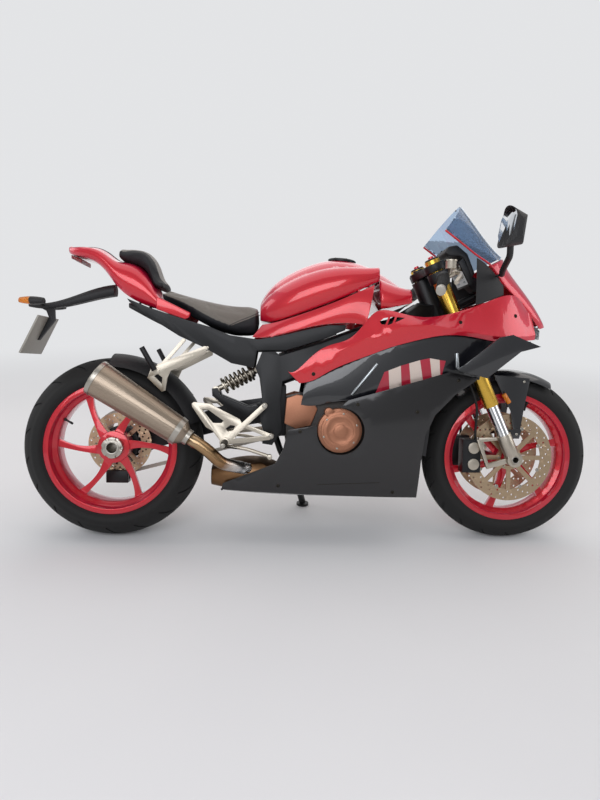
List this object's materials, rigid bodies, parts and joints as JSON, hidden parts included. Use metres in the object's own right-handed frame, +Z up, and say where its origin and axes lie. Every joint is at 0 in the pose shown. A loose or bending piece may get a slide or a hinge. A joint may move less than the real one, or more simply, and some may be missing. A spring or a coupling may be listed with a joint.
{
  "type": "sport motorcycle",
  "caption": "Full-fairing sport motorcycle on its side stand, with turning wheels, steering and folding side stand, and a single-sided swingarm.",
  "frame": {"origin": "middle of the parked motorcycle's box, at the ground", "axes": "+X forward along the motorcycle, +Y to the rider's left, +Z up; the motorcycle leans 10.9 degrees to its left on its side stand"},
  "size_m": [2.0249, 0.8676, 1.1758],
  "materials": {
    "black_frame_paint": "satin",
    "black_paint": "gloss",
    "bronze_cover_paint": "satin",
    "disc_steel": "brushed",
    "engine_alloy": "satin",
    "gold_alloy": "satin",
    "grip_rubber": "matt",
    "lamp_lens": "gloss",
    "matt_black_plastic": "matt",
    "red_bodywork": "gloss",
    "red_lens": "gloss",
    "red_paint": "gloss",
    "red_rim_paint": "gloss",
    "seat_cover": "matt",
    "silencer_steel": "brushed",
    "silver_alloy": "satin",
    "smoked_screen": "gloss",
    "steel": "brushed",
    "tyre_rubber": "matt"
  },
  "bodies": {
    "chassis": {"airbox_cover": "red_bodywork", "belly_pan": "black_paint", "chain": "steel", "chin_panel": "matt_black_plastic", "clutch_cover": "bronze_cover_paint", "cockpit_panels": "matt_black_plastic", "dash": "matt_black_plastic", "engine_block": "engine_alloy", "exhaust_collector": "steel", "frame": "black_frame_paint", "generator_cover": "bronze_cover_paint", "headlights": "lamp_lens", "hugger": "matt_black_plastic", "link_pipe": "steel", "lower_fairing_left": "black_paint", "lower_fairing_right": "black_paint", "middle_panels": "black_paint", "mirrors": "matt_black_plastic", "nose_cowl": "red_bodywork", "number_plate": "matt_black_plastic", "passenger_pegs": "silver_alloy", "passenger_seat": "seat_cover", "plate_arm": "matt_black_plastic", "radiator": "matt_black_plastic", "rear_caliper": "engine_alloy", "rearsets": "silver_alloy", "rider_seat": "seat_cover", "shock_absorber": "silver_alloy", "silencer": "silencer_steel", "subframe_covers": "matt_black_plastic", "swingarm": "black_frame_paint", "tail_cowl": "red_bodywork", "tail_light": "red_lens", "tank": "red_paint", "tank_covers": "red_bodywork", "undertail_tray": "matt_black_plastic", "upper_fairing_left": "red_bodywork", "upper_fairing_right": "red_bodywork", "windscreen": "smoked_screen", "winglets": "black_paint"},
    "steering": {"fork_outer_tubes": "gold_alloy", "fork_legs": "silver_alloy", "front_axle": "steel", "yokes": "black_frame_paint", "handlebars": "black_frame_paint", "grips": "grip_rubber", "levers": "silver_alloy", "front_fender": "black_paint", "front_calipers": "engine_alloy", "brake_hoses": "grip_rubber"},
    "front_wheel": {"front_rim": "red_rim_paint", "front_tyre": "tyre_rubber", "front_discs": "disc_steel"},
    "rear_wheel": {"rear_rim": "red_rim_paint", "rear_tyre": "tyre_rubber", "rear_axle": "silver_alloy", "rear_disc": "disc_steel", "rear_sprocket": "steel"},
    "side_stand": {"side_stand": "black_frame_paint"}
  },
  "joints": [
    {"name": "steering", "type": "hinge", "parent": "chassis", "child": "steering", "pos_m": [0.6852, -0.14089, 0.28345], "axis": [-0.4147, 0.1721, 0.8935], "range_deg": [-25, 25]},
    {"name": "front_wheel_spin", "type": "hinge", "parent": "steering", "child": "front_wheel", "pos_m": [0.7125, -0.13854, 0.29567], "axis": [0, 0.982, -0.1891], "continuous": true},
    {"name": "rear_wheel_spin", "type": "hinge", "parent": "chassis", "child": "rear_wheel", "pos_m": [-0.6975, -0.13559, 0.31098], "axis": [0, 0.982, -0.1891], "continuous": true},
    {"name": "side_stand", "type": "hinge", "parent": "chassis", "child": "side_stand", "pos_m": [-0.0695, -0.01435, 0.23193], "axis": [0.1711, 0.909, 0.3801], "range_deg": [0, 95]}
  ]
}
